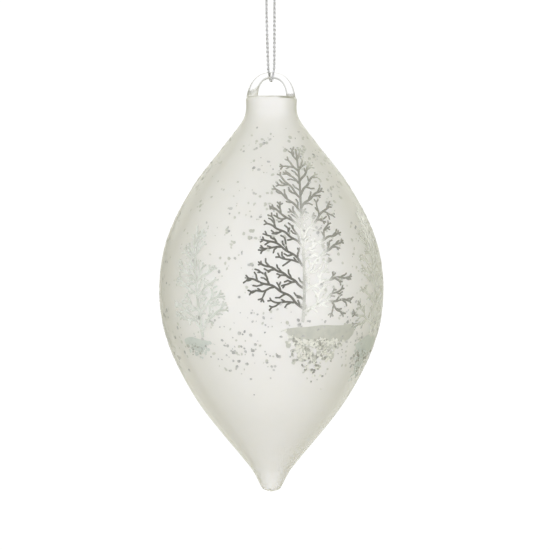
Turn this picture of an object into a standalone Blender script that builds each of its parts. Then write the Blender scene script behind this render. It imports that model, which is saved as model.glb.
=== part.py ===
"""A spindle-shaped blown glass ornament with silver trees, hanging by a clear glass eye from a cord loop.

Metres, +Z up. The origin is the hanging point, in the crotch of the cord just under its knot. The main
tree faces -Y, a little to the right of the middle, and +X is to the right seen from that side.
"""

import math

import bmesh
import bpy
from mathutils import Vector

MM = 0.001
FIT_GAP = 0.3 * MM

# Glass body: (radius, height) down its outside, from the neck's rim to the tip.
BODY_STEPS = 40
WALL = 1.2 * MM
NECK_RIM_Z = -57.6 * MM
BODY_OUTLINE = [
    (9.1, -57.6),
    (9.1, -61.6),
    (10.4, -65.2),
    (14.2, -70.4),
    (18.9, -76.5),
    (26.4, -86.2),
    (33.7, -98.7),
    (38.4, -111.2),
    (40.0, -125.5),
    (38.2, -139.8),
    (32.7, -154.0),
    (24.1, -168.3),
    (12.5, -182.6),
    (6.8, -189.7),
    (4.4, -194.0),
    (2.9, -196.5),
    (0.0, -197.4),
]
POINTS_PER_SPAN = 2
SLOPE_REACH = 0.5 * MM  # how far above and below a height its slope is taken
HOLLOW_END_Z = -186.0 * MM  # below this the tip is solid glass

# Glass eye: a rod bent to an arch in the XZ plane, thick at its feet, on a plug that closes the neck.
EYE_TOP_Z = -48.9 * MM
EYE_FOOT_Z = -57.0 * MM
EYE_LEFT_FOOT_X = -6.6 * MM
EYE_RIGHT_FOOT_X = 7.1 * MM
EYE_TOP_RADIUS = 1.15 * MM
EYE_LEFT_FOOT_RADIUS = 2.0 * MM
EYE_RIGHT_FOOT_RADIUS = 1.6 * MM
EYE_POINTS = 15
EYE_SIDES_RESOLUTION = 2
EYE_SQUARENESS = 0.86  # 1 is half an ellipse, less is a fuller arch
EYE_THINNING = 1.5  # above 1 the rod keeps its thickness at the feet and thins late
PLUG_STEPS = 32
PLUG_TOP_Z = -56.4 * MM
PLUG_FLANGE_RADIUS = 8.9 * MM
PLUG_DEPTH = 2.4 * MM

# Cord: one twisted thread, knotted into a loop that passes under the eye's rod.
CORD_RADIUS = 0.45 * MM
CORD_SIDES_RESOLUTION = 2
KNOT_CENTRE_Z = 2.5 * MM
KNOT_RADIUS = 1.7 * MM
KNOT_SEGMENTS = 14
KNOT_RINGS = 9
TAIL_LENGTH = 7.0 * MM
TAIL_SPREAD = math.radians(14)
TAIL_OFFSET = 0.5 * MM
BIGHT_RADIUS = EYE_TOP_RADIUS + FIT_GAP + CORD_RADIUS
BIGHT_TOP_Z = -47.0 * MM
BACK_ROUTE = [
    (-0.55, 0.00, 0.5),
    (-0.95, 0.05, -6.0),
    (-1.60, 0.10, -16.0),
    (-1.75, 0.20, -24.0),
    (-1.52, 0.45, -34.0),
    (-1.28, 1.20, -42.0),
    (-1.15, 1.75, -45.4),
    (-1.08, 1.90, -46.7),
]
FRONT_ROUTE = [
    (0.55, 0.00, 0.5),
    (0.85, -0.05, -6.0),
    (1.12, -0.10, -16.0),
    (1.12, -0.20, -24.0),
    (1.08, -0.50, -34.0),
    (1.05, -1.25, -42.0),
    (1.00, -1.75, -45.4),
    (0.95, -1.90, -46.7),
]
ROUTE_POINTS_PER_SPAN = 3
BIGHT_POINTS = 9
BIGHT_PINCH = 0.65  # the strands' distance from the middle beside the rod, as a share of that above it

# Silver decoration, which lies on the glass. Azimuths are from the front, -Y, and grow towards +X.
TREE_TRUNK_RADIUS = 0.5 * MM
TREE_LIMB_RADIUS = 0.4 * MM
TREE_STEP = 4.5 * MM
LOWEST_LIMB = 0.07
HIGHEST_LIMB = 0.86
LIMB_SPACING = 4.4 * MM
TREE_TAPER = 0.68  # 1 is a triangle, less is a fuller outline
LIMB_LEAVES = (56, 34)  # degrees from straight up at the trunk, for a limb at the foot and one at the top
LIMB_ENDS = (94, 34)  # the same at a limb's tip
BANK_THICKNESS = 0.5 * MM
TREES = {  # name: (azimuth in degrees, lean, height, half width, height of the foot), the lengths in mm
    "front": (16, 3.4, 60.0, 22.0, -136.0),
    "left": (-39, -4.5, 38.0, 14.5, -141.2),
    "right": (65, 2.0, 45.0, 13.0, -140.3),
    "rear_right": (122, -3.0, 56.0, 19.0, -136.4),
    "rear": (180, 3.0, 39.0, 15.0, -141.0),
    "rear_left": (238, -2.0, 48.0, 17.0, -139.4),
}
BANKS = {  # name: (azimuth in degrees, half width, height of the bank, height of its top), the lengths in mm
    "front": (27, 15.0, 6.8, -136.6),
    "left": (-43, 7.5, 4.0, -141.8),
    "right": (66, 9.0, 8.0, -140.9),
    "rear_right": (117, 13.0, 6.4, -137.0),
    "rear": (185, 8.5, 4.6, -141.6),
    "rear_left": (234, 11.0, 6.0, -140.0),
}
BANK_COLUMNS = 10
BANK_ROWS = 2
BANK_BLUNTNESS = 0.97  # 1 brings a bank's ends to a point
BANK_END_DROP = 0.8  # where a bank's ends lie between its top and its foot


def clear_scene():
    for item in list(bpy.data.objects):
        bpy.data.objects.remove(item, do_unlink=True)


def new_material(name, colour, roughness, metallic=0.0, transmission=0.0):
    material = bpy.data.materials.new(name)
    material.use_nodes = True
    shader = material.node_tree.nodes["Principled BSDF"]
    shader.inputs["Base Color"].default_value = (*colour, 1.0)
    shader.inputs["Roughness"].default_value = roughness
    shader.inputs["Metallic"].default_value = metallic
    shader.inputs["Transmission Weight"].default_value = transmission
    material.diffuse_color = (*colour, 1.0)
    return material


def smooth_curve(points, per_span):
    """Points on a Catmull-Rom curve through the given ones, the given ones among them."""
    points = [Vector(point) for point in points]
    ends = [2 * points[0] - points[1], *points, 2 * points[-1] - points[-2]]
    curve = [points[0]]
    for before, start, end, after in zip(ends, ends[1:], ends[2:], ends[3:]):
        for step in range(1, per_span + 1):
            t = step / per_span
            curve.append(
                0.5
                * (
                    2 * start
                    + (end - before) * t
                    + (2 * before - 5 * start + 4 * end - after) * t**2
                    + (3 * start - 3 * end + after - before) * t**3
                )
            )
    return curve


def in_metres(points):
    return [Vector(point) * MM for point in points]


OUTLINE = smooth_curve(in_metres(BODY_OUTLINE), POINTS_PER_SPAN)


def body_radius(z):
    """The outside radius of the glass at a height."""
    for upper, lower in zip(OUTLINE, OUTLINE[1:]):
        if upper.y >= z >= lower.y:
            share = (upper.y - z) / (upper.y - lower.y)
            return upper.x + (lower.x - upper.x) * share
    return 0.0


def body_slope(z):
    """How fast the outside radius changes with height."""
    return (body_radius(z + SLOPE_REACH) - body_radius(z - SLOPE_REACH)) / (2 * SLOPE_REACH)


def on_glass(azimuth, z, lift):
    """The point at a distance above the glass, straight out from its surface."""
    slope = body_slope(z)
    outward = Vector((1.0, -slope)).normalized()
    radius = body_radius(z) + lift * outward.x
    return Vector((radius * math.sin(azimuth), -radius * math.cos(azimuth), z + lift * outward.y))


def add_empty(name, place, parent, collection):
    empty = bpy.data.objects.new(name, None)
    empty.empty_display_size = 5 * MM
    collection.objects.link(empty)
    empty["place"] = place
    empty.location = place
    if parent:
        empty.parent = parent
        empty.location = Vector(place) - Vector(parent["place"])
    return empty


def add_object(name, data, material, pivot, collection):
    """An object whose data is in world coordinates, held by the empty on its joint's axis."""
    item = bpy.data.objects.new(name, data)
    data.materials.append(material)
    item.parent = pivot
    item.location = -Vector(pivot["place"])
    collection.objects.link(item)
    return item


def mesh_from(bm, name):
    mesh = bpy.data.meshes.new(name)
    bm.to_mesh(mesh)
    bm.free()
    return mesh


def outline_mesh(name, outline):
    """A line of edges in the XZ plane, for a Screw."""
    bm = bmesh.new()
    corners = [bm.verts.new((point.x, 0.0, point.y)) for point in outline]
    for start, end in zip(corners, corners[1:]):
        bm.edges.new((start, end))
    return mesh_from(bm, name)


def turn(item, steps):
    screw = item.modifiers.new("turn", "SCREW")
    screw.steps = steps
    screw.render_steps = steps
    screw.use_merge_vertices = True
    screw.merge_threshold = 0.01 * MM
    screw.use_smooth_shade = True


def tube_curve(name, points, radii, resolution):
    """A round tube along the points, with a radius at each."""
    curve = bpy.data.curves.new(name, "CURVE")
    curve.dimensions = "3D"
    curve.bevel_depth = max(radii)
    curve.bevel_resolution = resolution
    curve.use_fill_caps = True
    spline = curve.splines.new("POLY")
    spline.points.add(len(points) - 1)
    for corner, point, radius in zip(spline.points, points, radii):
        corner.co = (*point, 1.0)
        corner.radius = radius / curve.bevel_depth
    return curve


def mesh_of_curve(curve):
    """The tube as a mesh with its caps welded on."""
    holder = bpy.data.objects.new("tube", curve)
    bpy.context.scene.collection.objects.link(holder)
    shape = holder.evaluated_get(bpy.context.evaluated_depsgraph_get())
    mesh = bpy.data.meshes.new_from_object(shape)
    bm = bmesh.new()
    bm.from_mesh(mesh)
    bmesh.ops.remove_doubles(bm, verts=bm.verts, dist=0.001 * MM)
    bm.to_mesh(mesh)
    bm.free()
    bpy.data.objects.remove(holder, do_unlink=True)
    return mesh


def add_guide(guide, guides):
    guide.hide_render = True
    guide.display_type = "WIRE"
    guides.objects.link(guide)


def join(item, guide, guides):
    """Unites an object with another, which stays as a hidden guide."""
    add_guide(guide, guides)
    union = item.modifiers.new("join", "BOOLEAN")
    union.operation = "UNION"
    union.object = guide


def add_glass_body(material, pivot, collection):
    outer = OUTLINE
    inner = []
    for point in outer[::POINTS_PER_SPAN]:
        if point.y > HOLLOW_END_Z:
            outward = Vector((1.0, -body_slope(point.y))).normalized()
            inner.append(point - outward * WALL)
    inner[0] = Vector((outer[0].x - WALL, outer[0].y))
    inner.append(Vector((0.0, inner[-1].y - WALL)))
    mesh = outline_mesh("glass_body", [*reversed(inner), *outer])
    turn(add_object("glass_body", mesh, material, pivot, collection), BODY_STEPS)


def eye_points():
    """The middle line of the eye's rod, from the left foot over the top to the right foot."""
    points = []
    for index in range(EYE_POINTS):
        angle = math.pi * (1 - index / (EYE_POINTS - 1))
        foot = EYE_LEFT_FOOT_X if angle > math.pi / 2 else EYE_RIGHT_FOOT_X
        x = abs(math.cos(angle)) ** EYE_SQUARENESS * foot
        rise = abs(math.sin(angle)) ** EYE_SQUARENESS
        points.append(Vector((x, 0.0, EYE_FOOT_Z + (EYE_TOP_Z - EYE_FOOT_Z) * rise)))
    return points


def eye_radius(point):
    height = max(0.0, (point.z - EYE_FOOT_Z) / (EYE_TOP_Z - EYE_FOOT_Z))
    foot = EYE_LEFT_FOOT_RADIUS if point.x < 0 else EYE_RIGHT_FOOT_RADIUS
    return foot + (EYE_TOP_RADIUS - foot) * height**EYE_THINNING


def add_glass_loop(material, pivot, collection, guides):
    points = eye_points()
    radii = [eye_radius(point) for point in points]
    arch = mesh_of_curve(tube_curve("eye", points, radii, EYE_SIDES_RESOLUTION))
    plug_radius = body_radius(NECK_RIM_Z) - WALL - FIT_GAP
    flange_z = NECK_RIM_Z + FIT_GAP
    plug_outline = [
        Vector((0.0, PLUG_TOP_Z)),
        Vector((PLUG_FLANGE_RADIUS, PLUG_TOP_Z)),
        Vector((PLUG_FLANGE_RADIUS, flange_z)),
        Vector((plug_radius, flange_z)),
        Vector((plug_radius, flange_z - PLUG_DEPTH)),
        Vector((0.0, flange_z - PLUG_DEPTH)),
    ]
    plug = outline_mesh("glass_loop", plug_outline)
    loop = add_object("glass_loop", plug, material, pivot, collection)
    turn(loop, PLUG_STEPS)
    loop.rotation_euler.z = math.pi / PLUG_STEPS  # keeps the plug's edges off the arch's plane
    guide = bpy.data.objects.new("eye_rod", arch)
    join(loop, guide, guides)


def add_cord(material, pivots, collection):
    """The thread's two strands, and its turn under the eye's rod."""
    for name, route in (("cord_back_strand", BACK_ROUTE), ("cord_front_strand", FRONT_ROUTE)):
        points = smooth_curve(in_metres(route), ROUTE_POINTS_PER_SPAN)
        curve = tube_curve(name, points, [CORD_RADIUS] * len(points), CORD_SIDES_RESOLUTION)
        add_object(name, curve, material, pivots["cord_swing"], collection)
    points = bight_points()
    curve = tube_curve("cord_bight", points, [CORD_RADIUS] * len(points), CORD_SIDES_RESOLUTION)
    add_object("cord_bight", curve, material, pivots["ornament_swivel"], collection)


def bight_points():
    """From behind the rod, round below it, to its front, with a short leg up at each end."""
    back_x = BACK_ROUTE[-1][0] * MM
    front_x = FRONT_ROUTE[-1][0] * MM
    half = []
    for index in range(BIGHT_POINTS):
        share = index / (BIGHT_POINTS - 1)
        angle = math.pi * share
        y = BIGHT_RADIUS * math.cos(angle)
        z = EYE_TOP_Z - BIGHT_RADIUS * math.sin(angle)
        x = BIGHT_PINCH * (back_x * (1 - share) + front_x * share)
        half.append(Vector((x, y, z)))
    first = Vector((back_x, BIGHT_RADIUS, BIGHT_TOP_Z))
    last = Vector((front_x, -BIGHT_RADIUS, BIGHT_TOP_Z))
    return [first, *half, last]


def add_cord_knot(material, pivot, collection, guides):
    """The knot's ball, and its two cut tails."""
    bm = bmesh.new()
    bmesh.ops.create_uvsphere(bm, u_segments=KNOT_SEGMENTS, v_segments=KNOT_RINGS, radius=KNOT_RADIUS)
    bmesh.ops.translate(bm, verts=bm.verts, vec=(0.0, 0.0, KNOT_CENTRE_Z))
    mesh = mesh_from(bm, "cord_knot")
    mesh.shade_smooth()
    knot = add_object("cord_knot", mesh, material, pivot, collection)
    for side in (-1, 1):
        lean = side * TAIL_SPREAD
        start = Vector((TAIL_OFFSET * side, 0.0, KNOT_CENTRE_Z + TAIL_OFFSET))
        end = start + Vector((math.sin(lean), 0.0, math.cos(lean))) * TAIL_LENGTH
        tail = mesh_of_curve(tube_curve("tail", [start, end], [CORD_RADIUS] * 2, CORD_SIDES_RESOLUTION))
        join(knot, bpy.data.objects.new("knot_tail", tail), guides)


def tree_outline(share, half_width):
    """A tree's half width at a share of its height."""
    return half_width * (1 - share) ** TREE_TAPER


def limb_points(start, side, height, half_width):
    """One limb, from the trunk out to the tree's outline: the low ones level out, the high ones climb."""
    share = start.y / height
    leave, end = (math.radians(foot + (top - foot) * share) for foot, top in (LIMB_LEAVES, LIMB_ENDS))
    points = [start]
    walked = 0.0
    while True:
        angle = leave + (end - leave) * min(1.0, walked / half_width)
        step = Vector((side * math.sin(angle), math.cos(angle))) * TREE_STEP
        point = points[-1] + step
        inside = point.y < height and abs(point.x) < tree_outline(point.y / height, half_width)
        if not inside:
            return points
        points.append(point)
        walked += TREE_STEP


def tree_lines(height, half_width):
    """A tree on a flat sheet: the line of its trunk, then of each limb, to the left and right in turn."""
    count = round(height * (HIGHEST_LIMB - LOWEST_LIMB) / LIMB_SPACING)
    trunk = [Vector((0.0, 0.0))]
    limbs = []
    for index in range(count + 1):
        share = LOWEST_LIMB + (HIGHEST_LIMB - LOWEST_LIMB) * index / count
        trunk.append(Vector((0.0, share * height)))
        limbs.append(limb_points(trunk[-1], -1 if index % 2 else 1, height, half_width))
    trunk.append(Vector((0.0, height)))
    return [trunk, *(limb for limb in limbs if len(limb) > 1)]


def add_tree(name, sizes, material, pivot, collection):
    """A tree on the glass: its lines bent round the body, a rod along each, joined to one solid."""
    azimuth = math.radians(sizes[0])
    lean, height, half_width, foot_z = (size * MM for size in sizes[1:])
    rods = []
    for line in tree_lines(height, half_width):
        radius = TREE_LIMB_RADIUS if rods else TREE_TRUNK_RADIUS
        points = []
        for point in line:
            z = foot_z + point.y
            across = point.x + lean * (point.y / height) ** 2
            points.append(on_glass(azimuth + across / body_radius(z), z, FIT_GAP + TREE_TRUNK_RADIUS))
        rods.append(mesh_of_curve(tube_curve(name, points, [radius] * len(points), 0)))
    limbs = bpy.data.collections.new(f"{name}_limbs")
    bpy.context.scene.collection.children.link(limbs)
    for rod in rods[1:]:
        add_guide(bpy.data.objects.new(f"{name}_limb", rod), limbs)
    tree = add_object(name, rods[0], material, pivot, collection)
    union = tree.modifiers.new("join", "BOOLEAN")
    union.operation = "UNION"
    union.operand_type = "COLLECTION"
    union.collection = limbs


def add_bank(name, sizes, material, pivot, collection):
    """A snow bank: a lens of film bent round the body, flat-topped and deeper in the middle."""
    azimuth = math.radians(sizes[0])
    half_width, depth, top_z = (size * MM for size in sizes[1:])
    bm = bmesh.new()
    bmesh.ops.create_grid(bm, x_segments=BANK_COLUMNS, y_segments=BANK_ROWS, size=1.0)
    for corner in bm.verts:
        across = corner.co.x
        down = (1 - corner.co.y) / 2
        fullness = math.sqrt(1 - (BANK_BLUNTNESS * across) ** 2)
        z = top_z - depth * (BANK_END_DROP + (down - BANK_END_DROP) * fullness)
        corner.co = on_glass(azimuth + across * half_width / body_radius(z), z, FIT_GAP)
    bank = add_object(name, mesh_from(bm, name), material, pivot, collection)
    film = bank.modifiers.new("film", "SOLIDIFY")
    film.thickness = BANK_THICKNESS
    film.offset = 1.0


def main():
    clear_scene()
    collection = bpy.data.collections.new("spindle_ornament")
    guides = bpy.data.collections.new("guides")
    bpy.context.scene.collection.children.link(collection)
    bpy.context.scene.collection.children.link(guides)
    frosted = new_material("frosted_glass", (0.86, 0.86, 0.82), 0.35, transmission=0.4)
    clear = new_material("clear_glass", (0.96, 0.97, 0.96), 0.03, transmission=1.0)
    silver = new_material("silver_film", (0.80, 0.80, 0.78), 0.18, metallic=1.0)
    thread = new_material("silver_thread", (0.62, 0.62, 0.60), 0.35, metallic=0.8)
    hanger = add_empty("hanging_point", (0.0, 0.0, 0.0), None, collection)
    pivots = {"hanging_point": hanger}
    pivots["cord_swing"] = add_empty("cord_swing", (0.0, 0.0, KNOT_CENTRE_Z), hanger, collection)
    swivel_place = (0.0, 0.0, BIGHT_TOP_Z)
    pivots["ornament_swivel"] = add_empty("ornament_swivel", swivel_place, pivots["cord_swing"], collection)
    nod_place = (0.0, 0.0, EYE_TOP_Z)
    nod = add_empty("ornament_nod", nod_place, pivots["ornament_swivel"], collection)
    add_cord_knot(thread, hanger, collection, guides)
    add_cord(thread, pivots, collection)
    add_glass_loop(clear, nod, collection, guides)
    add_glass_body(frosted, nod, collection)
    for name, sizes in TREES.items():
        add_tree(f"tree_{name}", sizes, silver, nod, collection)
    for name, sizes in BANKS.items():
        add_bank(f"bank_{name}", sizes, silver, nod, collection)


main()
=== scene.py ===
"""The looks of the spindle glass ornament: pearl-frosted glass with silver trees, on a twisted thread.

Metres, in the CAD model's frame: the origin is the hanging point, -Y is the front, +X is to the right.
"""

import math
import random
from collections import deque

import bpy
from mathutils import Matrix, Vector
from mathutils.bvhtree import BVHTree


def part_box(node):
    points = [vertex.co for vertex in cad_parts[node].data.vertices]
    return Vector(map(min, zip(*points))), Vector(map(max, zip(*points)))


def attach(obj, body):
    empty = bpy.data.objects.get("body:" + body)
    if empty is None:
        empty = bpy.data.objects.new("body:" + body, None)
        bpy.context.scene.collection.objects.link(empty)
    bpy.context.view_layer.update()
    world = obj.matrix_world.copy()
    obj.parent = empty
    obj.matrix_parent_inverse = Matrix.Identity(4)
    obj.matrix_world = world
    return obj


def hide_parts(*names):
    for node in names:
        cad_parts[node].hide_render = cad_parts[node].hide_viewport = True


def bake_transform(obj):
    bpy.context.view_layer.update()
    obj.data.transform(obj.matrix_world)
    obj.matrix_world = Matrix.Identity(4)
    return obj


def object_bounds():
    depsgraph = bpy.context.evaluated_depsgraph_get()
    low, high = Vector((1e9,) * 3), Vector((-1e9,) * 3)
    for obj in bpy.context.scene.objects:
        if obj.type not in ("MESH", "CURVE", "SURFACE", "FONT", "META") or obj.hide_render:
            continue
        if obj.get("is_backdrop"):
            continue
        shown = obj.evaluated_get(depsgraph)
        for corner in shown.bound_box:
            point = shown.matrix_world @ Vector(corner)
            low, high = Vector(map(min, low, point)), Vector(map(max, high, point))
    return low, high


MM = 0.001

# The camera's view, in metres: its width where the ornament hangs, and its middle.
VIEW_WIDTH = 0.1964
VIEW_MIDDLE_X = 0.0013
VIEW_BELOW_TIP = 0.0209
CAMERA_DISTANCE = 1.0
SENSOR_WIDTH = 36.0

# Cord: the CAD's route, in millimetres, and the thread's make-up.
CORD_DIAMETER = 0.9
BACK_ROUTE = [
    (-0.55, 0.00, 0.5),
    (-0.95, 0.05, -6.0),
    (-1.60, 0.10, -16.0),
    (-1.75, 0.20, -24.0),
    (-1.52, 0.45, -34.0),
    (-1.28, 1.20, -42.0),
    (-1.15, 1.75, -45.4),
    (-1.08, 1.90, -46.7),
]
FRONT_ROUTE = [
    (0.55, 0.00, 0.5),
    (0.85, -0.05, -6.0),
    (1.12, -0.10, -16.0),
    (1.12, -0.20, -24.0),
    (1.08, -0.50, -34.0),
    (1.05, -1.25, -42.0),
    (1.00, -1.75, -45.4),
    (0.95, -1.90, -46.7),
]
BIGHT_PINCH = 0.65  # how much closer together the two strands are under the eye's rod
KNOT_CENTRE_Z = 2.5
KNOT_RADIUS = 1.0
KNOT_TURNS = 1.25
KNOT_BELOW_CENTRE = 0.9  # where the turns start
KNOT_CLIMB = 1.9  # how far the turns rise
KNOT_WAVE = 0.45
PLIES = 2
PLY_RADIUS = 0.26
PLY_OFFSET = 0.24
PLY_SIDES = 10
PLY_STEP = 0.1
FOIL_PITCH = 1.5  # of the strip of foil wound round each ply
FOIL_SHARE = 0.55  # how much of the ply it covers
PLY_PITCH = 3.0

# Silver trees and snow banks, as in the CAD. Azimuths are from the front and grow towards +X.
TREES = {  # name: (azimuth in degrees, lean, height, half width, height of the foot, seed), in mm
    "front": (16, 3.4, 60.0, 22.0, -136.0, 67),
    "left": (-39, -4.5, 38.0, 14.5, -141.2, 12),
    "right": (65, 2.0, 45.0, 13.0, -140.3, 7),
    "rear_right": (122, -3.0, 56.0, 19.0, -136.4, 1),
    "rear": (180, 3.0, 39.0, 15.0, -141.0, 4),
    "rear_left": (238, -2.0, 48.0, 17.0, -139.4, 7),
}
BANKS = {  # name: (azimuth in degrees, half width, height, height of its top, seed, share of grains), in mm
    "front": (27, 15.0, 6.8, -136.6, 21, 1.0),
    "left": (-43, 7.5, 4.0, -141.8, 22, 0.45),
    "right": (66, 9.0, 8.0, -140.9, 23, 0.55),
    "rear_right": (117, 13.0, 6.4, -137.0, 24, 1.0),
    "rear": (185, 8.5, 4.6, -141.6, 25, 0.5),
    "rear_left": (234, 11.0, 6.0, -140.0, 26, 0.8),
}
FILM_THICKNESS = 0.06

# The glass, in mm. The neck's top is flat with a round edge, and the eye's rod is thickest at its feet.
BODY_SIDES = 192
NECK_TOP_SHARES = (0.02, 0.35, 0.65, 0.8)  # of the neck's radius, across the flat top
NECK_TOP_RISE = 1.1
NECK_EDGE_RADIUS = 1.1
NECK_EDGE_STEPS = 5
EYE_ROD_RADIUS = 1.15
EYE_FEET = {-1: (-6.85, 2.1), 1: (7.0, 1.65)}  # side: (its place along x, its radius)
EYE_FOOT_DEPTH = 0.6  # how far the feet stand in the neck
EYE_FULLNESS = 0.86  # 1 makes the arch an ellipse, less makes it squarer
EYE_FLARE = 1.5
EYE_STEPS = 48
EYE_SIDES = 28

# The eye's frost, in mm, painted darker towards its edge as shade. On the left foot its edge is level, then
# climbs steeply to the inside.
FROST_LOW_Z = -54.9
FROST_LEFT_Z = -48.35  # where the climbing edge would be at x = 0
FROST_SLANT = 0.88
FROST_RIGHT_Z = -55.6
FROST_RAGGEDNESS = 0.6

# The faint olive band of painted shade at the right of the neck's round-edged top, in mm: where it fades in
# along x, where it fades out along x, and where it fades in upwards.
NECK_SHADE_LEFT = (1.5, 4.5)
NECK_SHADE_RIGHT = (7.6, 8.8)
NECK_SHADE_FOOT = (-57.6, -57.1)
NECK_SHADE_COLOUR = (0.50, 0.49, 0.40)

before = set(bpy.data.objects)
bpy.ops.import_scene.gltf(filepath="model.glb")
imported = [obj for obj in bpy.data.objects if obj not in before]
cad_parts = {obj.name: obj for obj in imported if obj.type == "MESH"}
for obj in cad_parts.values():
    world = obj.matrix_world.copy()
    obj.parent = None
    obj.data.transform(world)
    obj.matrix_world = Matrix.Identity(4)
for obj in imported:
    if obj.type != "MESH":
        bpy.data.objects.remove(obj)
cad_low, cad_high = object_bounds()


# ---------------------------------------------------------------- helpers


def in_metres(points):
    return [Vector(point) * MM for point in points]


def smooth_curve(points, per_span):
    """Points on a Catmull-Rom curve through the given ones, the given ones among them."""
    points = [Vector(point) for point in points]
    ends = [2 * points[0] - points[1], *points, 2 * points[-1] - points[-2]]
    curve = [points[0]]
    for before, start, end, after in zip(ends, ends[1:], ends[2:], ends[3:]):
        for step in range(1, per_span + 1):
            t = step / per_span
            curve.append(
                0.5
                * (
                    2 * start
                    + (end - before) * t
                    + (2 * before - 5 * start + 4 * end - after) * t**2
                    + (3 * start - 3 * end + after - before) * t**3
                )
            )
    return curve


def evenly(points, spacing):
    """The same line with its points the same distance apart."""
    spaced = [points[0]]
    spare = 0.0
    for start, end in zip(points, points[1:]):
        length = (end - start).length
        walked = spacing - spare
        while walked <= length:
            spaced.append(start.lerp(end, walked / length))
            walked += spacing
        spare = length - (walked - spacing)
    if (spaced[-1] - points[-1]).length > spacing * 0.3:
        spaced.append(points[-1])
    return spaced


class Shape:
    """Corners and faces that pieces are built up from."""

    def __init__(self):
        self.corners = []
        self.faces = []
        self.paints = []
        self.paint = 0

    def face(self, corners):
        self.faces.append(tuple(corners))
        self.paints.append(self.paint)

    def ring(self, points):
        first = len(self.corners)
        self.corners.extend(points)
        return list(range(first, len(self.corners)))

    def bridge(self, ring, other):
        count = len(ring)
        for index in range(count):
            after = (index + 1) % count
            self.face((ring[index], ring[after], other[after], other[index]))

    def loft(self, rings):
        """A closed skin over rings of points, all of which turn the same way."""
        made = [self.ring(points) for points in rings]
        for ring, other in zip(made, made[1:]):
            self.bridge(ring, other)
        self.face(reversed(made[0]))
        self.face(made[-1])

    def make(self, name, materials, body):
        mesh = bpy.data.meshes.new(name)
        mesh.from_pydata(self.corners, [], self.faces)
        mesh.polygons.foreach_set("material_index", self.paints)
        mesh.shade_smooth()
        mesh.set_sharp_from_angle(angle=math.radians(32))
        piece = bpy.data.objects.new(name, mesh)
        bpy.context.scene.collection.objects.link(piece)
        for material in materials:
            mesh.materials.append(material)
        if body:
            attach(piece, body)
        return piece


def frames_along(points):
    """Each point with two directions across the line, which don't twist along it."""
    frames = []
    side = None
    for index, point in enumerate(points):
        ahead = points[min(index + 1, len(points) - 1)] - points[max(index - 1, 0)]
        ahead.normalize()
        if side is None:
            side = ahead.orthogonal().normalized()
        side = (side - ahead * side.dot(ahead)).normalized()
        frames.append((point, side, ahead.cross(side)))
    return frames


def tube(shape, points, radii, sides):
    """A round tube along the points, with a radius at each."""
    rings = []
    for (point, side, other), radius in zip(frames_along(points), radii):
        ring = []
        for index in range(sides):
            angle = 2 * math.pi * index / sides
            ring.append(point + (side * math.cos(angle) + other * math.sin(angle)) * radius)
        rings.append(ring)
    shape.loft(rings)


def twisted_thread(shape, points):
    """A thread of plies that wind round the line, each wrapped in foil with gaps between its turns."""
    spacing = PLY_STEP * MM
    points = evenly(points, spacing)
    frames = frames_along(points)
    for ply in range(PLIES):
        line = []
        for index, (point, side, other) in enumerate(frames):
            angle = 2 * math.pi * (index * spacing / (PLY_PITCH * MM) + ply / PLIES)
            across = side * math.cos(angle) + other * math.sin(angle)
            line.append(point + across * PLY_OFFSET * MM)
        first = len(shape.faces)
        tube(shape, line, [PLY_RADIUS * MM] * len(line), PLY_SIDES)
        for step in range(len(line) - 1):
            for side in range(PLY_SIDES):
                bare = (side / PLY_SIDES + step * PLY_STEP / FOIL_PITCH) % 1 >= FOIL_SHARE
                shape.paints[first + step * PLY_SIDES + side] = int(bare)


# ---------------------------------------------------------------- materials

WHITE = (1.0, 1.0, 1.0)


def new_material(name):
    material = bpy.data.materials.new(name)
    material.use_nodes = True
    return material, material.node_tree, material.node_tree.nodes["Principled BSDF"]


def add_node(tree, kind, **settings):
    node = tree.nodes.new(kind)
    for key, value in settings.items():
        setattr(node, key, value)
    return node


def feed(tree, socket, value):
    """Links a socket to another, or sets it."""
    if isinstance(value, bpy.types.NodeSocket):
        tree.links.new(value, socket)
    else:
        socket.default_value = value


def calculate(tree, operation, *values):
    node = add_node(tree, "ShaderNodeMath", operation=operation)
    for socket, value in zip(node.inputs, values):
        feed(tree, socket, value)
    return node.outputs[0]


def blend_colours(tree, share, first, second):
    """The first colour where the share is 0, the second where it is 1."""
    node = add_node(tree, "ShaderNodeMix", data_type="RGBA")
    feed(tree, node.inputs["Factor"], share)
    for socket, colour in ((node.inputs[6], first), (node.inputs[7], second)):
        feed(tree, socket, colour if isinstance(colour, bpy.types.NodeSocket) else (*colour, 1.0))
    return node.outputs[2]


def ramp_between(tree, value, low, high, to_low=0.0, to_high=1.0):
    """A smooth step from one value to another."""
    node = add_node(tree, "ShaderNodeMapRange", interpolation_type="SMOOTHSTEP")
    feed(tree, node.inputs["Value"], value)
    feed(tree, node.inputs["From Min"], low)
    feed(tree, node.inputs["From Max"], high)
    feed(tree, node.inputs["To Min"], to_low)
    feed(tree, node.inputs["To Max"], to_high)
    return node.outputs[0]


def object_place(tree):
    return add_node(tree, "ShaderNodeTexCoord").outputs["Object"]


def split_axes(tree, vector):
    """The three numbers of a place or a direction."""
    node = add_node(tree, "ShaderNodeSeparateXYZ")
    feed(tree, node.inputs[0], vector)
    return node.outputs


def noise(tree, place, size, detail=2.0, roughness=0.5):
    """Noise whose features are about that many metres across."""
    node = add_node(tree, "ShaderNodeTexNoise")
    feed(tree, node.inputs["Vector"], place)
    node.inputs["Scale"].default_value = 1.0 / size
    node.inputs["Detail"].default_value = detail
    node.inputs["Roughness"].default_value = roughness
    return node.outputs["Fac"]


def bump(tree, height, depth, strength):
    node = add_node(tree, "ShaderNodeBump")
    feed(tree, node.inputs["Height"], height)
    node.inputs["Distance"].default_value = depth
    node.inputs["Strength"].default_value = strength
    return node.outputs["Normal"]


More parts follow.
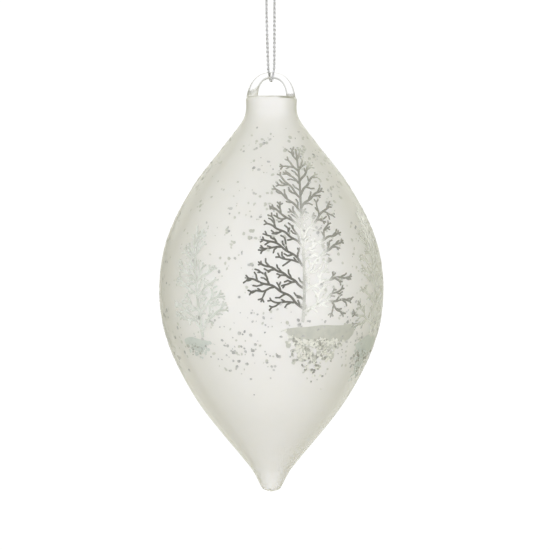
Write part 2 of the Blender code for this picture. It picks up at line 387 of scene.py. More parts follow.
def frosted_glass():
    """Milky glass, pearly and a little cloudy, under a glossy skin with a fine frost."""
    material, tree, shader = new_material("pearl_frosted_glass")
    place = object_place(tree)
    clouds = noise(tree, place, 22 * MM, 3.0)
    mottle = noise(tree, place, 2.6 * MM, 3.0, 0.6)
    cloudy = ramp_between(tree, clouds, 0.3, 0.7)
    colour = blend_colours(tree, cloudy, (0.93, 0.92, 0.87), (0.90, 0.893, 0.845))
    speckled = ramp_between(tree, mottle, 0.62, 0.8, 0.0, 0.35)
    colour = blend_colours(tree, speckled, colour, (0.86, 0.86, 0.82))
    x, _, z = split_axes(tree, place)
    # Painted shade: a darker olive band on the right of the neck's round-edged top, all the way round in y.
    painted_neck_shade = ramp_between(tree, x, *(edge * MM for edge in NECK_SHADE_LEFT))
    right_end = ramp_between(tree, x, *(edge * MM for edge in NECK_SHADE_RIGHT), 1.0, 0.0)
    painted_neck_shade = calculate(tree, "MULTIPLY", painted_neck_shade, right_end)
    foot = ramp_between(tree, z, *(edge * MM for edge in NECK_SHADE_FOOT))
    colour = blend_colours(tree, calculate(tree, "MULTIPLY", painted_neck_shade, foot), colour, NECK_SHADE_COLOUR)
    feed(tree, shader.inputs["Base Color"], colour)
    feed(tree, shader.inputs["Roughness"], ramp_between(tree, mottle, 0.2, 0.8, 0.34, 0.5))
    shader.inputs["Specular IOR Level"].default_value = 0.25
    shader.inputs["Subsurface Weight"].default_value = 0.25
    shader.inputs["Subsurface Radius"].default_value = (1.0, 0.95, 0.85)
    shader.inputs["Subsurface Scale"].default_value = 2.0 * MM
    shader.inputs["Coat Weight"].default_value = 0.9
    shader.inputs["Coat Roughness"].default_value = 0.09
    shader.inputs["Coat IOR"].default_value = 1.45
    frost = noise(tree, place, 0.22 * MM, 2.0)
    waves = noise(tree, place, 14 * MM, 1.0)
    feed(tree, shader.inputs["Normal"], bump(tree, frost, 0.01 * MM, 0.5))
    feed(tree, shader.inputs["Coat Normal"], bump(tree, waves, 0.35 * MM, 0.4))
    return material


def clear_glass():
    """Clear glass with frosted feet: high and slanting on the left one, low on the right one."""
    material, tree, shader = new_material("clear_glass")
    place = object_place(tree)
    x, _, z = split_axes(tree, place)
    slant = calculate(tree, "MULTIPLY_ADD", x, FROST_SLANT, FROST_LEFT_Z * MM)
    slant = calculate(tree, "MAXIMUM", slant, FROST_LOW_Z * MM)
    right = ramp_between(tree, x, -1.0 * MM, 1.0 * MM)
    left = calculate(tree, "SUBTRACT", 1.0, right)
    line = calculate(tree, "MULTIPLY", slant, left)
    line = calculate(tree, "MULTIPLY_ADD", right, FROST_RIGHT_Z * MM, line)
    uneven = noise(tree, place, 1.8 * MM)
    ragged = calculate(tree, "MULTIPLY_ADD", uneven, FROST_RAGGEDNESS * MM, -FROST_RAGGEDNESS / 2 * MM)
    above = calculate(tree, "ADD", calculate(tree, "SUBTRACT", z, line), ragged)
    clear = ramp_between(tree, above, -0.6 * MM, 0.7 * MM)
    near_edge = ramp_between(tree, above, -1.9 * MM, -0.3 * MM)
    let_through = ramp_between(tree, clear, 0.0, 1.0, 0.35, 1.0)
    feed(tree, shader.inputs["Transmission Weight"], calculate(tree, "MULTIPLY", let_through, near_edge))
    feed(tree, shader.inputs["Roughness"], ramp_between(tree, clear, 0.0, 0.7, 0.42, 0.0))
    # Painted shade: the frost darkens towards its edge with the clear glass; on the right foot it is an
    # even grey instead.
    frost_with_painted_shade = blend_colours(tree, near_edge, (0.97, 0.965, 0.90), (0.76, 0.76, 0.68))
    frost_with_painted_shade = blend_colours(tree, right, frost_with_painted_shade, (0.84, 0.835, 0.78))
    feed(tree, shader.inputs["Base Color"], blend_colours(tree, clear, frost_with_painted_shade, WHITE))
    shader.inputs["IOR"].default_value = 1.46
    waves = noise(tree, place, 5.0 * MM, 0.0)
    feed(tree, shader.inputs["Normal"], bump(tree, waves, 0.2 * MM, 0.3))
    return material


def silver_film():
    """Bright silver film, a little uneven and dulled in places."""
    material, tree, shader = new_material("silver_film")
    place = object_place(tree)
    cloud = noise(tree, place, 3.5 * MM, 3.0)
    grain = noise(tree, place, 0.35 * MM, 2.0)
    dulled = ramp_between(tree, cloud, 0.35, 0.7)
    colour = blend_colours(tree, dulled, (0.84, 0.84, 0.81), (0.72, 0.72, 0.68))
    feed(tree, shader.inputs["Base Color"], colour)
    shader.inputs["Metallic"].default_value = 1.0
    feed(tree, shader.inputs["Roughness"], ramp_between(tree, grain, 0.2, 0.8, 0.13, 0.22))
    feed(tree, shader.inputs["Normal"], bump(tree, grain, 0.012 * MM, 0.25))
    return material


def matte_silver(name, bright, dull):
    """Silver laid on so finely that it looks satin, with a soft grain and cloudy patches."""
    material, tree, shader = new_material(name)
    place = object_place(tree)
    cloud = noise(tree, place, 2.4 * MM, 3.0, 0.6)
    grain = noise(tree, place, 0.18 * MM, 2.0, 0.6)
    dulled = ramp_between(tree, cloud, 0.35, 0.7)
    feed(tree, shader.inputs["Base Color"], blend_colours(tree, dulled, bright, dull))
    shader.inputs["Metallic"].default_value = 0.35
    feed(tree, shader.inputs["Roughness"], ramp_between(tree, grain, 0.2, 0.8, 0.42, 0.6))
    feed(tree, shader.inputs["Normal"], bump(tree, grain, 0.02 * MM, 0.8))
    return material


def thread_material(name, bright, dull, metallic):
    """One of the thread's two materials: a fine strip or filament, a little creased and uneven."""
    material, tree, shader = new_material(name)
    place = object_place(tree)
    fibres = noise(tree, place, 0.12 * MM, 2.0, 0.6)
    patches = noise(tree, place, 0.3 * MM, 2.0, 0.6)
    dulled = ramp_between(tree, patches, 0.4, 0.62)
    feed(tree, shader.inputs["Base Color"], blend_colours(tree, dulled, bright, dull))
    shader.inputs["Metallic"].default_value = metallic
    feed(tree, shader.inputs["Roughness"], ramp_between(tree, fibres, 0.25, 0.75, 0.22, 0.42))
    feed(tree, shader.inputs["Normal"], bump(tree, fibres, 0.05 * MM, 0.6))
    return material


# ---------------------------------------------------------------- camera and cord


def add_camera(tip_z):
    data = bpy.data.cameras.new("camera")
    data.sensor_width = SENSOR_WIDTH
    data.lens = SENSOR_WIDTH * CAMERA_DISTANCE / VIEW_WIDTH
    camera = bpy.data.objects.new("camera", data)
    middle_z = tip_z - VIEW_BELOW_TIP + VIEW_WIDTH / 2
    camera.location = (VIEW_MIDDLE_X, -CAMERA_DISTANCE, middle_z)
    camera.rotation_euler = (math.pi / 2, 0.0, 0.0)
    bpy.context.scene.collection.objects.link(camera)
    bpy.context.scene.camera = camera


def cord_route(eye_top_z):
    """Down behind the eye's rod, under it and up in front, one smooth line from knot to knot."""
    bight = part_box("cord_bight")
    radius = -bight[0].y - CORD_DIAMETER / 2 * MM
    turn = []
    for index in range(1, 8):
        share = index / 8
        angle = math.pi * share
        x = (BACK_ROUTE[-1][0] * (1 - share) + FRONT_ROUTE[-1][0] * share) * BIGHT_PINCH * MM
        turn.append(Vector((x, radius * math.cos(angle), eye_top_z - radius * math.sin(angle))))
    route = [*in_metres(BACK_ROUTE), *turn, *reversed(in_metres(FRONT_ROUTE))]
    return smooth_curve(route, 6)


def knot_lines():
    """The two ends of the cord: up through the knot, round it, and out at the top as tails."""
    lines = []
    for side in (-1, 1):
        points = [Vector((0.55 * side, 0.0, 0.2)), Vector((0.4 * side, 0.0, 1.4))]
        for index in range(19):
            share = index / 18
            angle = math.pi * (0.5 - 0.5 * side) + 2 * math.pi * KNOT_TURNS * share
            height = KNOT_CENTRE_Z - KNOT_BELOW_CENTRE + KNOT_CLIMB * share + KNOT_WAVE * math.sin(angle)
            points.append(Vector((KNOT_RADIUS * math.cos(angle), KNOT_RADIUS * math.sin(angle), height)))
        points.append(Vector((0.3 * side, 0.3, KNOT_CENTRE_Z + 1.9)))
        points.append(Vector((0.75 * side, 0.25, KNOT_CENTRE_Z + 3.4)))
        points.append(Vector((1.5 * side, -0.1 * side, KNOT_CENTRE_Z + 5.4)))
        points.append(Vector((1.9 * side, -0.35, KNOT_CENTRE_Z + 7.2 + 0.4 * side)))
        lines.append(smooth_curve(in_metres(points), 5))
    return lines


def add_cord(materials, eye_top_z):
    """The cord as one piece, and its knot on the hanger."""
    route = cord_route(eye_top_z)
    shape = Shape()
    twisted_thread(shape, route)
    cord = shape.make("hanging_cord", materials, None)
    knot_shape = Shape()
    for line in knot_lines():
        twisted_thread(knot_shape, line)
    knot = knot_shape.make("tied_knot", materials, "hanger")
    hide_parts("cord_knot")
    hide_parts("cord_back_strand", "cord_front_strand", "cord_bight")
    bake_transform(cord)


# ---------------------------------------------------------------- glass


class Glass:
    """The outside of the blown body, read off the CAD body's edge in the XZ plane."""

    def __init__(self):
        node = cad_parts["glass_body"]
        corners = [vertex.co.copy() for vertex in node.data.vertices]
        faces = [tuple(face.vertices) for face in node.data.polygons]
        solid = BVHTree.FromPolygons(corners, faces)
        tiny = 0.01 * MM
        edge = set()
        for corner in corners:
            start = Vector((corner.x + tiny, 0.0, corner.z - tiny))
            on_edge = abs(corner.y) < tiny and corner.x > -tiny
            if on_edge and solid.ray_cast(start, Vector((1, 0, 0)))[0] is None:
                edge.add((round(max(corner.x, 0.0), 6), round(corner.z, 6)))
        edge = sorted(edge, key=lambda point: -point[1])
        self.line = smooth_curve(edge, 5)
        self.top_z = edge[0][1]
        self.tip_z = edge[-1][1]

    def radius(self, z):
        for upper, lower in zip(self.line, self.line[1:]):
            if upper.y >= z >= lower.y:
                share = (upper.y - z) / max(upper.y - lower.y, 1e-9)
                return upper.x + (lower.x - upper.x) * share
        return 0.0

    def outward(self, azimuth, z):
        reach = 0.5 * MM
        slope = (self.radius(z + reach) - self.radius(z - reach)) / (2 * reach)
        flat = Vector((math.sin(azimuth), -math.cos(azimuth), 0.0))
        return (flat - Vector((0, 0, slope))).normalized()

    def place(self, azimuth, z, lift=0.0):
        radius = self.radius(z)
        point = Vector((radius * math.sin(azimuth), -radius * math.cos(azimuth), z))
        return point + self.outward(azimuth, z) * lift


def add_glass_body(glass, material):
    """A fine lathe of the CAD's line, with the neck closed by a flat, round-edged top."""
    neck = glass.line[0].x
    edge = NECK_EDGE_RADIUS * MM
    top_z = glass.top_z + NECK_TOP_RISE * MM
    profile = [Vector((neck * share, top_z)) for share in NECK_TOP_SHARES]
    for index in range(NECK_EDGE_STEPS + 1):
        angle = math.pi / 2 * index / NECK_EDGE_STEPS
        x = neck - edge + edge * math.sin(angle)
        profile.append(Vector((x, top_z - edge + edge * math.cos(angle))))
    under_edge = top_z - edge - 0.2 * MM
    profile += [point for point in glass.line if point.y < under_edge and point.x > 0.05 * MM]
    shape = Shape()
    rings = []
    for point in profile:
        ring = []
        for index in range(BODY_SIDES):
            angle = -2 * math.pi * index / BODY_SIDES
            ring.append(Vector((point.x * math.cos(angle), point.x * math.sin(angle), point.y)))
        rings.append(ring)
    shape.loft(rings)
    body = shape.make("blown_glass_body", [material], "ornament")
    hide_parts("glass_body")


def add_glass_eye(glass, material):
    """The eye's rod: a D-shaped arch, thick at the feet, which flare where they join the neck."""
    foot_z = glass.top_z - EYE_FOOT_DEPTH * MM
    thin = EYE_ROD_RADIUS * MM
    top_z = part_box("glass_loop")[1].z - thin
    points = []
    radii = []
    for index in range(EYE_STEPS + 1):
        angle = math.pi * (1 - index / EYE_STEPS)
        foot_x, thick = EYE_FEET[-1 if angle > math.pi / 2 else 1]
        x = abs(math.cos(angle)) ** EYE_FULLNESS * (foot_x * MM)
        rise = abs(math.sin(angle)) ** EYE_FULLNESS
        points.append(Vector((x, 0.0, foot_z + (top_z - foot_z) * rise)))
        radii.append(thick * MM + (thin - thick * MM) * rise**EYE_FLARE)
    shape = Shape()
    tube(shape, points, radii, EYE_SIDES)
    eye = shape.make("clear_glass_eye", [material], "ornament")
    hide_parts("glass_loop")


# ---------------------------------------------------------------- silver trees


def tree_outline(share, half_width):
    """A tree's half width at a share of its height."""
    return half_width * max(0.0, 1 - share) ** 0.68


def towards(point, angle, length):
    """The point that far off, at an angle from straight up that grows to the right."""
    return point + length * Vector((math.sin(angle), math.cos(angle)))


class Tree:
    """A coral-like tree on a flat sheet, in mm: limbs that branch, wander and keep clear of each other.

    Level 0 is the trunk, 1 its limbs, 2 their branches and 3 the twigs on those. The list of lines holds
    what was drawn: the points of each line and its width at either end.
    """

    STEP = 0.5  # between the points of a line
    CELL = 2.2  # of the grid in which neighbours are looked up
    CLEARANCE = {1: 1.9, 2: 1.5, 3: 1.2}  # by level, as are the next three
    WANDER = {1: 13, 2: 17, 3: 12}  # in degrees
    SHORTEST = {1: 2.5, 2: 1.4, 3: 0.9}
    WIDTH = {0: 1.1, 1: 0.88, 2: 0.77, 3: 0.68}
    TRUNK_TOP_WIDTH = 0.7
    TIP_WIDTH = 0.6
    TIP_CLEARANCE = 0.85
    TIPS = ((-35, 35), (-35, 35), (-48, 0, 48))  # the ways a tip may fork, in degrees off its heading
    LIMB_LENGTH = 1.35  # the longest limb, as a share of the tree's half width

    def __init__(self, height, half_width, lean, seed):
        self.height = height
        self.half_width = half_width
        self.lean = lean
        self.scale = max(0.8, height / 60)
        self.random = random.Random(seed)
        self.lines = []
        self.cells = {}
        self.queue = deque()
        self.limb_count = 0
        self.grow_trunk()
        while self.queue:
            self.grow_limb(*self.queue.popleft())

    def trunk_x(self, share):
        return self.lean * share**2 + 0.3 * math.sin(8 * share + 0.5)

    def cell(self, point):
        return (math.floor(point.x / self.CELL), math.floor(point.y / self.CELL))

    def claim(self, points, limb):
        for point in points:
            self.cells.setdefault(self.cell(point), []).append((point, limb))

    def crowded(self, point, limbs, clearance):
        """Whether a limb other than these passes too near the point."""
        column, row = self.cell(point)
        for i in (column - 1, column, column + 1):
            for j in (row - 1, row, row + 1):
                for other, limb in self.cells.get((i, j), ()):
                    if limb not in limbs and (point - other).length < clearance:
                        return True
        return False

    def inside(self, point, reach):
        share = point.y / self.height
        if not 0.02 < share < 1.0:
            return False
        edge = tree_outline(share, self.half_width) * reach + 0.6
        return abs(point.x - self.trunk_x(share)) < edge

    def grow_trunk(self):
        chance = self.random
        count = int(self.height / self.STEP)
        trunk = [Vector((self.trunk_x(i / count), self.height * i / count)) for i in range(count + 1)]
        self.lines.append((trunk, self.WIDTH[0], self.TRUNK_TOP_WIDTH))
        self.claim(trunk, 0)
        starts = []
        for side, share in ((-1, 0.07), (1, 0.05)):
            while share < 0.95:
                starts.append((share, side))
                share += (0.132 - 0.075 * share) * chance.uniform(0.88, 1.12) / self.scale
        for share, side in sorted(starts):
            leave = side * math.radians(47 - 10 * share + chance.uniform(-5, 5))
            arrive = side * math.radians(90 - 52 * share + chance.uniform(-8, 8))
            reach = chance.uniform(0.86, 1.04)
            length = self.LIMB_LENGTH * self.half_width
            self.queue.append((trunk[int(share * count)], leave, arrive, length, 1, 0, reach))
        share = 0.12
        side = -1
        while share < 0.93:
            leave, arrive = side * math.radians(38), side * math.radians(50)
            self.queue.append((trunk[int(share * count)], leave, arrive, chance.uniform(3, 6), 2, 0, 1.0))
            side = -side
            share += 0.045 / self.scale

    def grow_limb(self, start, leave, arrive, length, level, parent, reach):
        """Walks a limb until its length is used, it leaves the outline or it comes near another."""
        chance = self.random
        self.limb_count += 1
        limb = self.limb_count
        points = [start]
        steps = max(2, int(length / self.STEP))
        turning = min(steps, int(24 / self.STEP)) if level == 1 else steps
        phase = chance.uniform(0, 2 * math.pi)
        wave = chance.uniform(4.5, 8.0)
        wander = math.radians(self.WANDER[level])
        clearance = self.CLEARANCE[level]
        for index in range(steps):
            walked = index * self.STEP
            turned = min(1.0, 1.3 * (index + 1) / turning)
            drift = math.sin(phase + 2 * math.pi * walked / wave) - math.sin(phase)
            angle = leave + (arrive - leave) * turned + wander * drift * min(1.0, walked / 1.5)
            point = towards(points[-1], angle, self.STEP)
            free_after = clearance * (1.9 if level == 1 else 1.15)
            own, gap = ((limb, parent), 0.8) if walked < free_after else ((limb,), clearance)
            if not self.inside(point, reach) or self.crowded(point, own, gap):
                break
            points.append(point)
        grown = (len(points) - 1) * self.STEP
        if grown < self.SHORTEST[level]:
            return
        self.claim(points[1:], limb)
        self.lines.append((points, self.WIDTH[level], max(self.TIP_WIDTH, self.WIDTH[level] - 0.15)))
        if level < 3:
            self.bud(points, grown, level, limb)
        self.fork_tip(points, limb)

    def bud(self, points, grown, level, limb):
        """Queues the branches of a limb, on its two sides in turn."""
        chance = self.random
        side = chance.choice((-1, 1))
        walked = chance.uniform(1.8, 2.6) if level == 1 else chance.uniform(1.4, 2.0)
        while walked < grown - 0.6:
            index = int(walked / self.STEP)
            ahead = points[min(index + 1, len(points) - 1)] - points[index - 1]
            heading = math.atan2(ahead.x, ahead.y)
            turn = math.radians(chance.uniform(42, 60))
            longest, spare = (9.0, 2.2) if level == 1 else (3.6, 1.2)
            length = min(longest, (grown - walked) * 0.6 + spare) * chance.uniform(0.8, 1.17)
            side = -side
            arrive = heading + side * turn * 0.4
            self.queue.append((points[index], heading + side * turn, arrive, length, level + 1, limb, 1.08))
            walked += chance.uniform(1.9, 2.7) if level == 1 else chance.uniform(1.7, 2.4)

    def fork_tip(self, points, limb):
        chance = self.random
        ahead = points[-1] - points[-2]
        heading = math.atan2(ahead.x, ahead.y)
        for turn in chance.choice(self.TIPS):
            angle = heading + math.radians(turn + chance.uniform(-8, 8))
            end = towards(points[-1], angle, chance.uniform(0.9, 1.4))
            if not self.crowded(end, (limb,), self.TIP_CLEARANCE):
                self.lines.append(([points[-1], end], self.TIP_WIDTH, self.TIP_WIDTH))
                self.claim([end], limb)


# Half of a strip's section, from its middle to its edge: (share of the half width, share of the thickness).
STRIP_SECTION = [(0.96, 1.0), (1.0, 0.7), (1.0, -0.6)]
# A strip's round end: (share of the half width that it reaches beyond the line, share of the width there).
STRIP_END = [(0.95, 0.3), (0.8, 0.6), (0.45, 0.9)]


def strip(shape, places, outwards, half_widths):
    """A flat strip of film with crisp edges and round ends, lying on the glass."""
    first = (places[1] - places[0]).normalized()
    last = (places[-1] - places[-2]).normalized()
    line = []
    for beyond, wide in STRIP_END:
        line.append((places[0] - first * half_widths[0] * beyond, outwards[0], half_widths[0] * wide))
    line += list(zip(places, outwards, half_widths))
    for beyond, wide in reversed(STRIP_END):
        line.append((places[-1] + last * half_widths[-1] * beyond, outwards[-1], half_widths[-1] * wide))
    rings = []
    for index, (place, outward, half_width) in enumerate(line):
        ahead = line[min(index + 1, len(line) - 1)][0] - line[max(index - 1, 0)][0]
        across = ahead.cross(outward).normalized()
        ring = []
        for wide, high in STRIP_SECTION:
            ring.append(place + across * half_width * wide + outward * FILM_THICKNESS * MM * high)
        for wide, high in reversed(STRIP_SECTION):
            ring.append(place - across * half_width * wide + outward * FILM_THICKNESS * MM * high)
        rings.append(ring)
    shape.loft(rings)


def add_tree(glass, name, sizes, material):
    azimuth = math.radians(sizes[0])
    lean, height, half_width, foot_z, seed = sizes[1:]
    tree = Tree(height, half_width, lean, seed)
    shape = Shape()
    for points, first_width, last_width in tree.lines:
        places = []
        outwards = []
        half_widths = []
        for index, point in enumerate(points):
            z = (foot_z + point.y) * MM
            turn = azimuth + point.x * MM / glass.radius(z)
            places.append(glass.place(turn, z))
            outwards.append(glass.outward(turn, z))
            share = index / (len(points) - 1)
            half_widths.append((first_width + (last_width - first_width) * share) * 0.5 * MM)
        strip(shape, places, outwards, half_widths)
    piece = shape.make(f"silver_tree_{name}", [material], "ornament")
    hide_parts(f"tree_{name}")


# ---------------------------------------------------------------- snow banks and flecks


def add_fleck(shape, glass, azimuth, z, size, chance, tilt, lift=0.0):
    """One small flake of film: a lopsided, flat-topped polygon on the glass, tipped by up to the tilt."""
    outward = glass.outward(azimuth, z)
    along = Vector((math.cos(azimuth), math.sin(azimuth), 0.0))
    up = outward.cross(along).normalized()
    tip = (outward + along * chance.uniform(-tilt, tilt) + up * chance.uniform(-tilt, tilt)).normalized()
    along = up.cross(tip).normalized()
    up = tip.cross(along)
    middle = glass.place(azimuth, z)
    sides = chance.randint(6, 8)
    stretch = chance.uniform(0.6, 1.0)
    spin = chance.uniform(0, math.pi)
    low = []
    high = []
    for index in range(sides):
        angle = 2 * math.pi * index / sides
        reach = size / 2 * chance.uniform(0.75, 1.15)
        x = reach * math.cos(angle)
        y = reach * math.sin(angle) * stretch
        across = along * (x * math.cos(spin) - y * math.sin(spin))
        across += up * (x * math.sin(spin) + y * math.cos(spin))
        low.append(middle + across - outward * 0.12 * MM)
        high.append(middle + across * 0.9 + outward * (FILM_THICKNESS + lift) * MM)
    shape.loft([low, high])


# The grains under a bank, from the glass up: material, how many for each mm of half width, least and
# greatest size in mm, lift in mm, and how far they tip.
# The grains are real; the second layer's are painted bright as glints, except on the pale banks, and the
# last layer's are painted dark as reflection of dark surroundings.
GRAIN_LAYERS = [
    (0, 0.5, 2.6, 4.4, 0.0, 0.02),
    (0, 9, 1.0, 2.0, 0.02, 0.04),
    (1, 11, 0.7, 1.6, 0.16, 0.2),
    (2, 4.6, 0.7, 1.7, 0.16, 0.3),
]
SPARSE_GRAINS = 0.6  # banks with a smaller share of grains than this are the pale ones
BANK_COLUMNS_PER_MM = 5  # of the half width
BANK_ROWS = 6

# The loose flecks, in mm and degrees.
FLECK_CLUSTERS = 760
FLECKS_IN_A_CLUSTER = (1, 1, 2, 3, 4)
FLECK_HEIGHTS = (-168.0, -70.0)
FLECK_GROUND_Z = -146  # where they lie thickest
FLECK_GROUND_DEPTH = 8
FLECK_AIR_Z = -140  # above this some are in the air
FLECK_PALE_Z = -132  # above this more of them are pale
FLECK_GAP_WIDTH = 18  # how wide the gaps between the trees are, where most of them gather
FLECK_SPREAD = 1.7  # of one cluster


def add_bank(glass, name, sizes, materials):
    """A drift: a smooth film with a crumbling lower edge, and grains of film scattered below it."""
    azimuth = math.radians(sizes[0])
    half_width, depth, top_z, seed, graininess = sizes[1:]
    chance = random.Random(seed)
    turn_per_mm = MM / glass.radius(top_z * MM)
    slow = [chance.uniform(0, 2 * math.pi) for _ in range(3)]

    def edges(across):
        """The heights of the film's upper and lower edges, at a share of the half width."""
        along = across * (1 if seed % 2 else -1)
        fullness = (1 - along**2) ** 0.9 if along < 0 else (1 - along**4) ** 0.5
        hump = math.sin(2.6 * across + slow[0]) + 0.5 * math.sin(7 * across + slow[1])
        upper = top_z - depth * (0.34 * (1 - fullness) + 0.07 * (1.2 + hump) - 0.09 * along)
        ripple = 0.08 * math.sin(5 * across + slow[2])
        lower = top_z - depth * (0.36 + (0.3 + 0.3 * graininess) * fullness + ripple)
        return upper, min(lower, upper - 0.15)

    shape = Shape()
    columns = int(half_width * BANK_COLUMNS_PER_MM)
    rings = []
    for column in range(columns + 1):
        across = -1 + 2 * column / columns
        upper, lower = edges(across)
        crumble = 0.45 * max(0.0, 1 - across**2) ** 0.5
        lower += chance.uniform(-crumble, crumble)
        turn = azimuth + across * half_width * turn_per_mm
        ring = []
        for row in range(BANK_ROWS + 1):
            z = (upper + (lower - upper) * row / BANK_ROWS) * MM
            lift = FILM_THICKNESS * (0.3 if row in (0, BANK_ROWS) else 1.0)
            ring.append(glass.place(turn, z, lift * MM))
        for row in range(BANK_ROWS, -1, -1):
            z = (upper + (lower - upper) * row / BANK_ROWS) * MM
            ring.append(glass.place(turn, z, -0.05 * MM))
        rings.append(ring)
    shape.loft(rings)
    spill = 1.9 * depth * (0.25 + 0.75 * graininess)  # how far down the grains reach
    for paint, count, smallest, largest, lift, tilt in GRAIN_LAYERS:
        shape.paint = paint
        for _ in range(int(half_width * count * graininess)):
            down = abs(chance.gauss(0, 0.42))
            across = -0.16 + chance.gauss(0, 0.36) * (1.1 - 0.45 * min(down, 1.4))
            if abs(across) > 0.9:
                continue
            z = edges(across)[1] + 0.7 - spill * down * (1 - 0.5 * across**2)
            size = chance.uniform(smallest, largest) * (1.0 - 0.2 * min(down, 1.5))
            turn = azimuth + across * half_width * turn_per_mm
            add_fleck(shape, glass, turn, z * MM, size * MM, chance, tilt, lift)
    piece = shape.make(f"snow_bank_{name}", materials, "ornament")
    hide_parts(f"bank_{name}")


def add_flecks(glass, materials):
    """Flecks of silver all round in small clusters, most of them between the trees and by the ground."""
    chance = random.Random(5)
    shape = Shape()
    turns = sorted((sizes[0] + 180) % 360 - 180 for sizes in TREES.values())
    gaps = [(left + right) / 2 for left, right in zip(turns, [*turns[1:], turns[0] + 360])]
    clusters = 0
    while clusters < FLECK_CLUSTERS:
        degrees = chance.uniform(-180, 180)
        z = chance.uniform(*FLECK_HEIGHTS)
        off = min(abs((degrees - gap + 180) % 360 - 180) for gap in gaps)
        between = math.exp(-((off / FLECK_GAP_WIDTH) ** 2))
        ground = math.exp(-(((z - FLECK_GROUND_Z) / FLECK_GROUND_DEPTH) ** 2))
        aloft = 0.1 + 0.42 * between if z > FLECK_AIR_Z else 0.0
        if chance.random() > ground * (0.3 + 0.7 * between) + aloft * (1 - ground):
            continue
        clusters += 1
        radius = glass.radius(z * MM) / MM
        for _ in range(chance.choice(FLECKS_IN_A_CLUSTER)):
            turn = math.radians(degrees) + chance.gauss(0, FLECK_SPREAD) / radius
            shape.paint = chance.choice((0, 0, 1) if z > FLECK_PALE_Z else (0, 1, 1))
            size = 0.55 + 1.15 * chance.random() ** 1.4
            height = (z + chance.gauss(0, FLECK_SPREAD)) * MM
            add_fleck(shape, glass, turn, height, size * MM, chance, 0.08)
    shape.make("silver_flecks", materials, "ornament")


# ---------------------------------------------------------------- studio

SOFT_LIGHT = (0.358, 0.352, 0.235)  # from all round, off warm walls
LOW_LIGHT = (0.30, 0.288, 0.165)  # the same from below, off a warmer floor
FRONT_LIGHT = (2.38, 2.39, 2.69)  # a large soft lamp behind the camera
REAR_LIGHT = (1.9, 1.9, 1.95)  # the same, weaker, behind the ornament
LAMP_HALF_ANGLE = 35
LAMP_SOFTNESS = 0.03
CAMERA_WHITE = (1.05, 1.05, 1.05)  # the backdrop that the camera sees
THROUGH_LEVEL = (1.08, 1.08, 1.08)  # what clear glass shows behind it, straight through
THROUGH_ABOVE = (0.50, 0.50, 0.48)
THROUGH_ASIDE = (0.62, 0.62, 0.60)
FLOOR_Z = -0.75
FLOOR_HALF_SIZE = 2.0
REFLECTED_DARK = (0.225, 0.225, 0.205)
PANELS = [  # what a reflection sees: azimuths, elevations, their soft edges in degrees, brightness
    ((-180, 180), (54, 90), (0, 18), (0.49, 0.49, 0.445)),
    ((-180, 180), (-90, -29), (0, 5), (0.62, 0.61, 0.54)),
    ((64, 102), (-30, 60), (3, 4), (0.38, 0.38, 0.34)),
    ((102, 180), (-60, 70), (4, 5), (0.70, 0.71, 0.625)),
    ((-180, -160), (-60, 70), (4, 5), (0.80, 0.79, 0.69)),
    ((-126, -37), (-60, 70), (4, 5), (0.84, 0.865, 0.82)),
    ((-160, -126), (-60, 70), (4, 5), (0.58, 0.58, 0.53)),
    ((135, 180), (12, 70), (6, 4), (1.02, 1.02, 0.95)),
    ((-180, -135), (12, 70), (6, 4), (1.02, 1.02, 0.95)),
    ((135, 180), (-60, -12), (6, 4), (1.02, 1.02, 0.95)),
    ((-180, -135), (-60, -12), (6, 4), (1.02, 1.02, 0.95)),
    ((33, 63), (-30, 50), (2, 4), (1.16, 1.16, 1.13)),
]


def window(tree, value, low, high, soft):
    """1 between two limits, falling smoothly to 0 outside them. A limit of 90 or 180 either way is open."""
    share = None
    if abs(low) not in (90, 180):
        share = ramp_between(tree, value, low - soft, low + soft)
    if abs(high) not in (90, 180):
        falling = ramp_between(tree, value, high - soft, high + soft, 1.0, 0.0)
        share = calculate(tree, "MULTIPLY", share, falling) if share else falling
    return share


def add_studio():
    """White all round for the camera, soft white light, and panels for the silver to mirror."""
    world = bpy.data.worlds.new("studio")
    bpy.context.scene.world = world
    world.use_nodes = True
    world.cycles.sampling_method = "NONE"
    tree = world.node_tree
    background = tree.nodes["Background"]
    direction = add_node(tree, "ShaderNodeTexCoord").outputs["Generated"]
    x, y, z = split_axes(tree, direction)
    front = calculate(tree, "MULTIPLY", y, -1.0)
    degrees = 180 / math.pi
    azimuth = calculate(tree, "MULTIPLY", calculate(tree, "ARCTAN2", x, front), degrees)
    elevation = calculate(tree, "MULTIPLY", calculate(tree, "ARCSINE", z), degrees)
    seen = REFLECTED_DARK
    for (left, right), (low, high), (soft_side, soft_end), colour in PANELS:
        share = window(tree, elevation, low, high, soft_end)
        if soft_side:
            share = calculate(tree, "MULTIPLY", share, window(tree, azimuth, left, right, soft_side))
        seen = blend_colours(tree, share, seen, colour)
    lamp_edge = math.cos(math.radians(LAMP_HALF_ANGLE))
    light = blend_colours(tree, ramp_between(tree, z, -0.25, 0.25), LOW_LIGHT, SOFT_LIGHT)
    for facing, lamp in ((front, FRONT_LIGHT), (y, REAR_LIGHT)):
        inside = ramp_between(tree, facing, lamp_edge - LAMP_SOFTNESS, lamp_edge + LAMP_SOFTNESS)
        light = blend_colours(tree, inside, light, lamp)
    path = add_node(tree, "ShaderNodeLightPath")
    colour = blend_colours(tree, path.outputs["Is Glossy Ray"], light, seen)
    through = blend_colours(tree, ramp_between(tree, z, 0.1, 0.6), THROUGH_LEVEL, THROUGH_ABOVE)
    aside = calculate(tree, "ABSOLUTE", x)
    through = blend_colours(tree, ramp_between(tree, aside, 0.25, 0.7), through, THROUGH_ASIDE)
    colour = blend_colours(tree, path.outputs["Is Transmission Ray"], colour, through)
    colour = blend_colours(tree, path.outputs["Is Camera Ray"], colour, CAMERA_WHITE)
    feed(tree, background.inputs["Color"], colour)
    bpy.context.scene.view_settings.view_transform = "Standard"


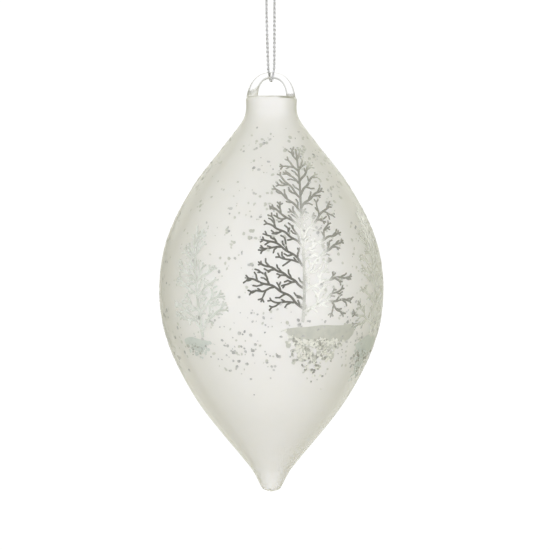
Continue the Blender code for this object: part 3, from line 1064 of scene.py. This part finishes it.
def add_floor():
    """A pale floor far below the hanging ornament, which only the camera sees."""
    sides = ((-1, -1), (1, -1), (1, 1), (-1, 1))
    corners = [(x * FLOOR_HALF_SIZE, y * FLOOR_HALF_SIZE, FLOOR_Z) for x, y in sides]
    mesh = bpy.data.meshes.new("studio_floor")
    mesh.from_pydata(corners, [], [(0, 1, 2, 3)])
    floor = bpy.data.objects.new("studio_floor", mesh)
    bpy.context.scene.collection.objects.link(floor)
    material, _, shader = new_material("studio_floor")
    shader.inputs["Base Color"].default_value = (0.9, 0.9, 0.9, 1.0)
    shader.inputs["Emission Color"].default_value = (*WHITE, 1.0)
    shader.inputs["Emission Strength"].default_value = 0.7
    mesh.materials.append(material)
    floor.visible_diffuse = False
    floor.visible_glossy = False
    floor.visible_transmission = False
    floor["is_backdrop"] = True


def main():
    glass = Glass()
    add_camera(glass.tip_z)
    eye_top_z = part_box("glass_loop")[1].z - EYE_ROD_RADIUS * MM  # the middle of the rod at its top
    foil = thread_material("thread_foil", (0.98, 0.98, 1.0), (0.84, 0.84, 0.86), 0.5)
    filament = thread_material("thread_filament", (0.68, 0.68, 0.67), (0.44, 0.44, 0.43), 0.2)
    add_cord([foil, filament], eye_top_z)
    add_glass_body(glass, frosted_glass())
    add_glass_eye(glass, clear_glass())
    film = silver_film()
    drift = matte_silver("silver_drift", (0.73, 0.735, 0.655), (0.67, 0.68, 0.61))
    pale = matte_silver("silver_drift_pale", (0.74, 0.775, 0.72), (0.69, 0.725, 0.68))
    # Painted light: the bright grains are painted as glints, the dark ones as painted reflection of dark
    # surroundings.
    grain = matte_silver("silver_grain_painted_glint", (0.98, 0.98, 0.90), (0.88, 0.88, 0.79))
    grains_painted_dark = matte_silver("silver_grain_painted_dark", (0.60, 0.60, 0.53), (0.40, 0.40, 0.35))
    for name, sizes in TREES.items():
        add_tree(glass, name, sizes, film)
    for name, sizes in BANKS.items():
        sparse = sizes[-1] < SPARSE_GRAINS
        add_bank(glass, name, sizes, [pale, pale, grains_painted_dark] if sparse else [drift, grain, grains_painted_dark])
    fleck = matte_silver("silver_fleck", (0.72, 0.72, 0.68), (0.44, 0.44, 0.42))
    add_flecks(glass, [drift, fleck])
    add_studio()
    add_floor()
    low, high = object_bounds()
    sizes = {"cad": [list(cad_low), list(cad_high)], "visual": [list(low), list(high)]}


main()
